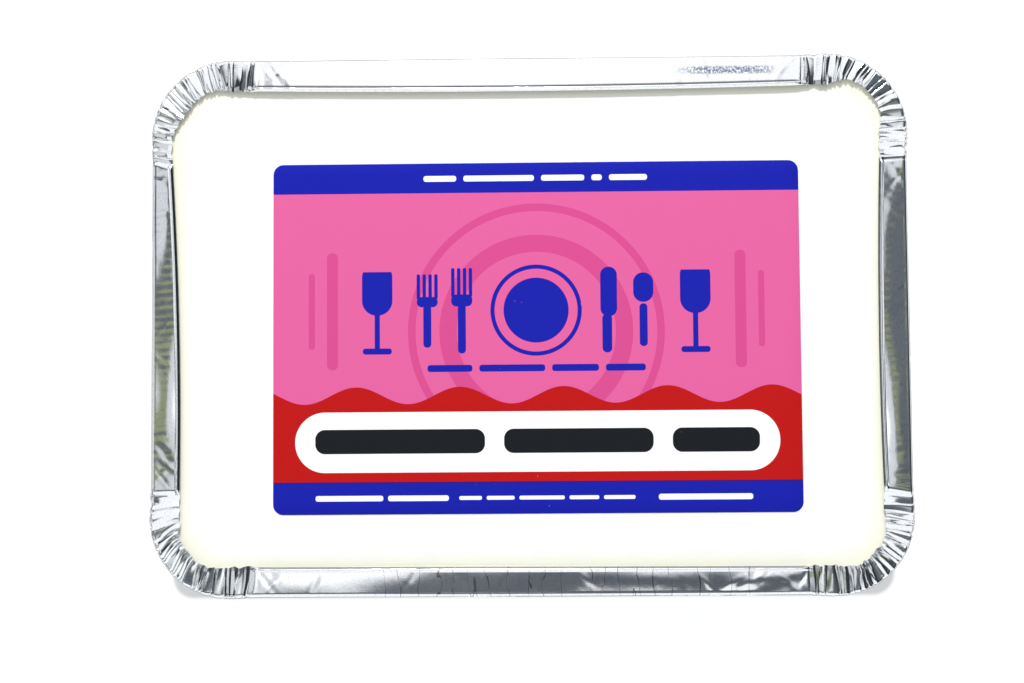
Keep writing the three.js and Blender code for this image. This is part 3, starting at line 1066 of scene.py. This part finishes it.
def board_finish():
    """White with faint mottle, a few dark specks and fibres where a noise is above a limit, and
    a painted cream shade near the band, by how far a point is inside the rim's rounded rectangle."""
    finish = Finish("white_board", roughness=0.62, specular_ior_level=0.3)
    x, y, z = finish.axes()
    at = finish.join(x, y, z)
    mottle = finish.noise(at, 0.12, 4.0, 0.6)
    speck = finish.noise(at, 0.9, 1.0, 0.4).step(0.84, 0.88)
    fibre = finish.noise(finish.join(x * 0.6, y * 4.0, z), 0.5, 1.0, 0.4).step(0.83, 0.87)
    inside = inside_bar(x, y, RIM_LENGTH, RIM_WIDTH, RIM_CORNER)
    # Painted shade: a warm cream band on the board next to the rim.
    rim_shade = inside.step(RIM_SHADE_REACH, RIM_SHADE_REACH - RIM_SHADE_FADE) * (0.4 + mottle * 0.8)
    white = paint(finish.tree, mottle.step(0.25, 0.75), BOARD_SHADE, BOARD_WHITE)
    with_rim_shade = paint(finish.tree, rim_shade.at_most(1.0), white, PAINTED_RIM_SHADE_CREAM)
    dotted = paint(finish.tree, (speck + fibre * 0.5).at_most(1.0) * 0.6, with_rim_shade, FIBRE_GREY)
    finish.set(base_color=dotted)
    finish.bump(finish.noise(at, 2.2, 3.0, 0.6) * TOOTH)
    return finish.material


lid.data.materials.append(board_finish())
print("board nodes", len(lid.data.materials[0].node_tree.nodes))

# %% [markdown]
# ## Print
#
# The sticker carries fields of flat colour: a blue band along the top and the foot, a pink
# field, a red foot with a wavy upper edge, and a white capsule. On them lie rows of plain bars,
# spaced like lines of type, and a plain place setting. Every shape is a distance formula on x and
# y, turned into a mask with a crisp edge, so the print stays sharp at any size.

# %% Drawing on the sticker
BLUE = (0.007, 0.012, 0.36)
PINK = (0.70, 0.115, 0.315)
RED = (0.47, 0.006, 0.006)
DEEP_PINK = (0.62, 0.07, 0.25)
INK = (0.008, 0.010, 0.013)
PAPER = (0.92, 0.92, 0.92)
OVERPRINT = (0.04, 0.004, 0.13)
SOFT_EDGE = 0.05
LABEL_TALL = 2 * LABEL_HALF[1]
MIDDLE = LABEL_HALF[0]


class Print:
    """Draws flat shapes on the sticker. x runs right and y up from its lower left corner. It
    starts as one flat colour, and every shape is painted over the ones before it."""

    def __init__(self, finish, ground):
        x, y, _ = finish.axes()
        self.tree = finish.tree
        self.x = x - (LABEL_CENTRE[0] - LABEL_HALF[0])
        self.y = y - (LABEL_CENTRE[1] - LABEL_HALF[1])
        self.colour = ground

    def fill(self, inside, colour):
        """Lays a colour where inside, a distance in millimetres, is above zero."""
        self.colour = paint(self.tree, inside.step(-SOFT_EDGE, SOFT_EDGE), self.colour, colour)

    def bar(self, colour, x, y, half_length, half_height, radius):
        """A rounded bar."""
        self.fill(inside_bar(self.x - x, self.y - y, half_length, half_height, radius), colour)

    def disc(self, colour, y, radius):
        """A disc on the middle line: the radius less the distance to its centre."""
        self.fill(radius - length(self.x - MIDDLE, self.y - y), colour)

    def hoop(self, colour, y, radius, width):
        """A ring on the middle line: half its width less how far a point is off the circle."""
        self.fill(width / 2 - abs(length(self.x - MIDDLE, self.y - y) - radius), colour)

    def bar_row(self, colour, x, y, lengths, gap, half_height):
        """A row of bars with rounded ends, centred on x."""
        at = x - (sum(lengths) + gap * (len(lengths) - 1)) / 2
        for long in lengths:
            self.bar(colour, at + long / 2, y, long / 2, half_height, 0.8 * half_height)
            at += long + gap


print("sticker colours", {"blue": BLUE, "pink": PINK, "red": RED})

# %% Fields of colour
WAVE_DOWN = 67.45
WAVE_CREST = 24.1
WAVE_PITCH = 29.95
WAVE_HEIGHT = 2.45
FOOT_TALL = 9.0
OVERPRINT_TALL = 0.3
HEAD_TALL = 8.7
# The rings on the pink: radius and line width. The bars at their sides: distance from the middle,
# half length, half height and radius. The capsule: y, half length, half height and radius.
RINGS_Y = 52.5
RINGS = ((25.5, 5.0), (36.0, 2.2))
SETTING_Y = 58.6
SIDE_BARS = ((59, 1.6, 17.0, 1.5), (65, 0.9, 11.0, 0.8))
CAPSULE = (20.7, 69.8, 8.7, 8.65)


def print_fields(sheet):
    """The large fields: rings and side bars on the pink, the red foot under its wave, which is
    a sine with a crest at WAVE_CREST, the blue bands, and the capsule."""
    turn = (sheet.x - WAVE_CREST) / WAVE_PITCH * (2 * math.pi) + math.pi / 2
    wave_y = LABEL_TALL - WAVE_DOWN + turn.sine() * WAVE_HEIGHT
    for ring in RINGS:
        sheet.hoop(DEEP_PINK, RINGS_Y, *ring)
    for off, *size in SIDE_BARS:
        for side in (-1, 1):
            sheet.bar(DEEP_PINK, MIDDLE + side * off, SETTING_Y, *size)
    sheet.fill(wave_y - sheet.y, RED)
    sheet.fill((FOOT_TALL + OVERPRINT_TALL) - sheet.y, OVERPRINT)
    sheet.fill(FOOT_TALL - sheet.y, BLUE)
    sheet.fill(sheet.y - (LABEL_TALL - HEAD_TALL), BLUE)
    sheet.bar(PAPER, MIDDLE, *CAPSULE)


print("wave of the red foot", WAVE_PITCH, "mm long")

# %% Place setting
# Each bar of a thing: x, y as a share of its height, half length, half height as a share, radius.
HANDLE = (0.0, -0.42, 1.15, 0.58, 1.1)
TINES = [(x, 0.66, 0.5, 0.34, 0.45) for x in (-2.55, -0.85, 0.85, 2.55)]
FORK = [*TINES, (0.0, 0.24, 3.05, 0.14, 1.5), HANDLE]
KNIFE = [(0.0, -0.55, 1.4, 0.45, 1.3), (0.5, 0.42, 2.4, 0.58, 2.3)]
SPOON = [(0.0, 0.6, 2.9, 0.4, 2.85), HANDLE]
BOWL = [(0.0, 0.52, 4.4, 0.62, 4.3)]
BRIM = [(0.0, 1.08, 6.0, 0.16, 0.2)]
STEM = [(0.0, -0.45, 0.75, 0.5, 0.3), (0.0, -0.94, 4.2, 0.07, 0.8)]
# Each thing beside the plate: its bars, its distance from the middle, its height, its colour.
# The brim is laid in pink, and cuts the bowl level.
TALL, SMALL = 12.4, 0.86 * 12.4
SETTING = [
    (FORK, -21.5, TALL, BLUE),
    (KNIFE, 20.5, TALL, BLUE),
    (FORK, -31.5, SMALL, BLUE),
    (SPOON, 31.0, SMALL, BLUE),
]
for at_x in (-46.0, 46.0):
    SETTING += [(BOWL, at_x, TALL, BLUE), (BRIM, at_x, TALL, PINK), (STEM, at_x, TALL, BLUE)]
PLATE = ((13.2, BLUE), (12.0, PINK), (9.4, BLUE))


def print_place_setting(sheet):
    """A plate with forks, a knife and a spoon between two glasses."""
    for radius, colour in PLATE:
        sheet.disc(colour, SETTING_Y, radius)
    for bars, at_x, tall, colour in SETTING:
        for x, y, half_length, high, radius in bars:
            sheet.bar(colour, MIDDLE + at_x + x, SETTING_Y + y * tall, half_length, high * tall, radius)


print("bars in the place setting", sum(len(bars) for bars, *_ in SETTING))

# %% Rows of bars and the finish
# Each row: its colour, x and y of its middle, the bars' lengths, their gap and half their height.
BAR_ROWS = (
    (PAPER, MIDDLE, LABEL_TALL - 4.5, (9.5, 20.5, 12.5, 3.0, 11.0), 2.1, 0.85),
    (BLUE, MIDDLE, LABEL_TALL - 59.7, (13.0, 19.0, 13.5, 11.5), 2.0, 1.0),
    (INK, MIDDLE, 20.9, (49.0, 43.0, 25.0), 5.5, 3.5),
    (PAPER, 31.5, 4.6, (19.5, 17.5), 1.4, 0.8),
    (PAPER, 79.0, 4.6, (6.5, 8.0, 13.0, 8.5, 9.0), 1.4, 0.55),
    (PAPER, 124.5, 4.6, (27.0,), 1.0, 0.85),
)
SCREEN_PITCH = 0.62
SCREEN_DEPTH = 0.003
GRAIN_DEPTH = 0.006


def print_finish():
    """Ink on satin paper: a fine printing screen in the colour, the product of a sine of x and
    one of y, and pinholes that missed ink."""
    finish = Finish("printed_paper", roughness=0.5, specular_ior_level=0.03)
    ground = add_node(finish.tree, "ShaderNodeRGB")
    ground.socket.default_value = (*PINK, 1.0)
    sheet = Print(finish, ground)
    print_fields(sheet)
    print_place_setting(sheet)
    for row in BAR_ROWS:
        sheet.bar_row(*row)
    screen_turn = 2 * math.pi / SCREEN_PITCH
    screen = (sheet.x * screen_turn).sine() * (sheet.y * screen_turn).sine()
    at = finish.join(*finish.axes())
    grainy = finish.noise(at, 1.4, 3.0, 0.7)
    light = (screen * 0.5 + 0.5) * SCREEN_DEPTH + grainy * GRAIN_DEPTH
    inked = paint(finish.tree, light, sheet.colour, PAPER)
    pinhole = finish.noise(at, 2.1, 1.0, 0.3).step(0.84, 0.87)
    finish.set(base_color=paint(finish.tree, pinhole * 0.75, inked, PAPER))
    finish.bump(finish.noise(at, 0.6, 3.0, 0.5) * 0.02 + grainy * 0.004)
    return finish.material


label.data.materials.append(print_finish())
print("print nodes", len(label.data.materials[0].node_tree.nodes))

# %% [markdown]
# ## Which solid each piece stands for
#
# The foil skin and the rim stand for the tray's solid, and the lid and the sticker for their
# own. All of them ride on the one body, because nothing on the pack moves.

# %% Ride and replace
for piece, node, slot_name in ((rim, "tray", "foil"), (body, "tray", "foil"), (lid, "lid", "board"),
                               (label, "label", "print")):
    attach(piece, "root")
    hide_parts(node)
print("pieces placed")

# %% [markdown]
# ## Stage, light and camera
#
# The pack lies on a plain pale floor that glows a little, like a light table, so shadows on it
# stay faint. A small lamp at the back gives the narrow shadow of the band on the lid. A mirror
# shows what surrounds it, so the studio is drawn as soft panels in the sky: white overhead, to the
# back and in front, grey at the left and over the front, dull olive beside them, and slate
# between. That is what makes the foil read as metal. The foil doesn't mirror the glowing floor,
# which would wash its walls out, but a pale horizon and patches of grey below it. A pale backdrop
# that only the camera sees closes the view at the sides.

# %% Floor and backdrop
FLOOR_SIZE = 3000.0
FLOOR_GREY = 0.35
FLOOR_GLOW = (0.81, 0.81, 0.81)
FLOOR_GAP = 0.15
# A painted shadow under the tray: its middle, its rounded rectangle and its dimmed glow.
SHADE_MIDDLE = (0.0, -9.5)
SHADE_BAR = (112.0, 72.3, 7.0)
SHADE_GLOW = (0.41, 0.42, 0.43)
DOME_RADIUS = 1480.0
DOME_GLOW = 0.97
DOME_GRID = (16, 48)


def glowing_finish(name, grey, **values):
    """A matt surface that also gives off light."""
    return Finish(name, roughness=0.9, base_color=(grey, grey, grey, 1.0), specular_ior_level=0.0, **values)


def floor_finish():
    """The floor's glow, dimmed by a painted shadow under the tray: by how far a point is inside a
    rounded rectangle that lies under the tray."""
    finish = glowing_finish("pale_floor", FLOOR_GREY, emission_strength=1.0)
    x, y, _ = finish.axes()
    # Painted shadow: the glow is dimmed in a rounded rectangle under the tray.
    shade = inside_bar(x - SHADE_MIDDLE[0], y - SHADE_MIDDLE[1], *SHADE_BAR).step(-0.6, 1.2)
    finish.set(emission_color=paint(finish.tree, shade, FLOOR_GLOW, SHADE_GLOW))
    return finish.material


def make_floor():
    """A large square just under the tray."""
    square = np.array([(-1, -1), (1, -1), (1, 1), (-1, 1)]) * FLOOR_SIZE / 2
    corners = np.column_stack([square, np.full(4, -FLOOR_GAP)])
    floor = add_piece("floor", corners, np.array([[0, 1, 2, 3]]))
    floor.data.materials.append(floor_finish())
    floor.visible_glossy = False


def make_backdrop():
    """A dome over the floor, radius times (cos, sin) round and up, that only the camera sees."""
    steps_up, steps_round = DOME_GRID
    turn = np.linspace(0, 2 * math.pi, steps_round, endpoint=False)
    turn, up = np.meshgrid(turn, np.linspace(-0.02, 1.5, steps_up))
    points = np.stack([np.cos(up) * np.cos(turn), np.cos(up) * np.sin(turn), np.sin(up)], axis=-1)
    quads = ring_faces(*DOME_GRID, close_rows=False)[:, ::-1]
    dome = add_piece("backdrop", points.reshape(-1, 3) * DOME_RADIUS, quads)
    white = (1.0, 1.0, 1.0, 1.0)
    finish = glowing_finish("pale_backdrop", 0.0, emission_color=white, emission_strength=DOME_GLOW)
    dome.data.materials.append(finish.material)
    for ray in ("diffuse", "glossy", "shadow", "transmission", "volume_scatter"):
        setattr(dome, "visible_" + ray, False)


make_floor()
make_backdrop()
print("floor and backdrop made")

# %% Sky
PANEL_WHITE = (1.35, 1.36, 1.38)
PANEL_SOFT = (1.10, 1.11, 1.13)
PANEL_GREY = (0.76, 0.78, 0.82)
SLATE = (0.085, 0.100, 0.118)
SLATE_LIGHT = (0.15, 0.165, 0.19)
OLIVE = (0.33, 0.36, 0.20)
DARK = (0.035, 0.042, 0.048)
BELOW_DARK = (0.20, 0.21, 0.23)
BELOW_LIGHT = (0.72, 0.73, 0.75)
HIGH = ((0.38, 0.46),)
OLIVE_LEFT = ((-0.31, -0.33),)
OLIVE_RIGHT = ((0.33, 0.35), (0.45, 0.42))
OLIVE_BACK = ((0.09, 0.05), (-0.03, 0.0))
OLIVE_FRONT = ((-0.11, -0.13), (-0.24, -0.20))
# Each panel: its colour, then its edges in x, in y and in z of the line of sight. An edge is a
# pair, where the panel starts and where it is full. A panel covers the ones before it.
PANELS = (
    (DARK, (), (), ((0.80, 0.60),)),
    (OLIVE, OLIVE_LEFT, OLIVE_BACK, HIGH),
    (OLIVE, OLIVE_LEFT, OLIVE_FRONT, HIGH),
    (OLIVE, OLIVE_RIGHT, OLIVE_BACK, HIGH),
    (OLIVE, OLIVE_RIGHT, OLIVE_FRONT, HIGH),
    (PANEL_GREY, ((-0.50, -0.53),), ((-0.10, -0.04), (0.24, 0.18)), ((0.15, 0.25),)),
    (PANEL_GREY, ((-0.34, -0.38),), ((-0.52, -0.46), (-0.20, -0.26)), ((0.15, 0.25),)),
    (PANEL_GREY, ((-0.34, -0.32), (0.32, 0.30)), ((-0.30, -0.12),), HIGH),
    (PANEL_SOFT, ((-0.78, -0.70), (0.78, 0.70)), ((0.28, 0.34),), ((0.06, 0.14),)),
    (PANEL_SOFT, ((-0.72, -0.62), (0.72, 0.62)), ((-0.46, -0.50),), ()),
    (PANEL_WHITE, ((-0.18, -0.15), (0.16, 0.10)), ((-0.22, 0.02),), HIGH),
    (PANEL_SOFT, (), (), ((0.12, 0.02),)),
)
GROUND = (-0.32, -0.46)


def make_sky():
    """Colour by direction, from soft-edged boxes. A box's mask is the product of its edges'
    S-shaped steps. What lies below the horizon is patches of grey."""
    world = bpy.data.worlds.new("studio")
    bpy.context.scene.world = world
    world.use_nodes = True
    tree = world.node_tree
    way = add_node(tree, "ShaderNodeTexCoord", output=0)
    axes = split(tree, way)
    mottle = add_node(tree, "ShaderNodeTexNoise", inputs={"Vector": way, "Scale": 6.0, "Detail": 2.0})
    colour = paint(tree, mottle.step(0.35, 0.7), SLATE, SLATE_LIGHT)
    for panel_colour, *edges in PANELS:
        steps = [axis.step(*edge) for axis, pairs in zip(axes, edges) for edge in pairs]
        colour = paint(tree, math.prod(steps), colour, panel_colour)
    patchy = add_node(tree, "ShaderNodeTexNoise", inputs={"Vector": way, "Scale": 3.5, "Detail": 1.0})
    below = paint(tree, patchy.step(0.42, 0.58), BELOW_DARK, BELOW_LIGHT)
    colour = paint(tree, axes[2].step(*GROUND), colour, below)
    tree.links.new(colour.socket, tree.nodes["Background"].inputs["Color"])


print("sky panels", len(PANELS))

# %% Lamp
LAMP_PLACE = Vector((-0.06, 1.02, 0.80))
LAMP_AIM = Vector((0.0, 0.0, TRAY_HIGH.z))
LAMP_SIZE = 0.09
LAMP_POWER = 13.0


def make_lamp():
    """A small square area light behind the pack, which points at its rim."""
    lamp = bpy.data.lights.new("back_lamp", "AREA")
    lamp.size = LAMP_SIZE
    lamp.energy = LAMP_POWER
    light = bpy.data.objects.new("back_lamp", lamp)
    bpy.context.scene.collection.objects.link(light)
    light.location = LAMP_PLACE
    light.rotation_euler = (LAMP_AIM - LAMP_PLACE).to_track_quat("-Z", "Y").to_euler()


make_sky()
make_lamp()
print("sky and lamp made")

# %% Camera
CAMERA_LENS = 60.0
CAMERA_SENSOR = 36.0
CAMERA_PLACE = Vector((0.00427, -0.03417, 0.53204))
CAMERA_AIM = Vector((-0.00498, -0.0048, 0.040))
CAMERA_ROLL = math.radians(0.398)


def make_camera():
    """A 60 mm lens almost straight above the pack, aimed a little left of its middle. The
    picture's top is the way to the back, turned by the roll about the line of sight."""
    lens = bpy.data.cameras.new("camera")
    lens.lens = CAMERA_LENS
    lens.sensor_width = CAMERA_SENSOR
    camera = bpy.data.objects.new("camera", lens)
    bpy.context.scene.collection.objects.link(camera)
    forward = (CAMERA_AIM - CAMERA_PLACE).normalized()
    level = forward.cross(Vector((0, 1, 0))).normalized()
    upright = level.cross(forward)
    right = level * math.cos(CAMERA_ROLL) - upright * math.sin(CAMERA_ROLL)
    up = upright * math.cos(CAMERA_ROLL) + level * math.sin(CAMERA_ROLL)
    camera.location = CAMERA_PLACE
    camera.rotation_euler = Matrix((right, up, -forward)).transposed().to_euler()
    bpy.context.scene.camera = camera


make_camera()
bpy.context.scene.view_settings.view_transform = "Standard"
print("camera made")
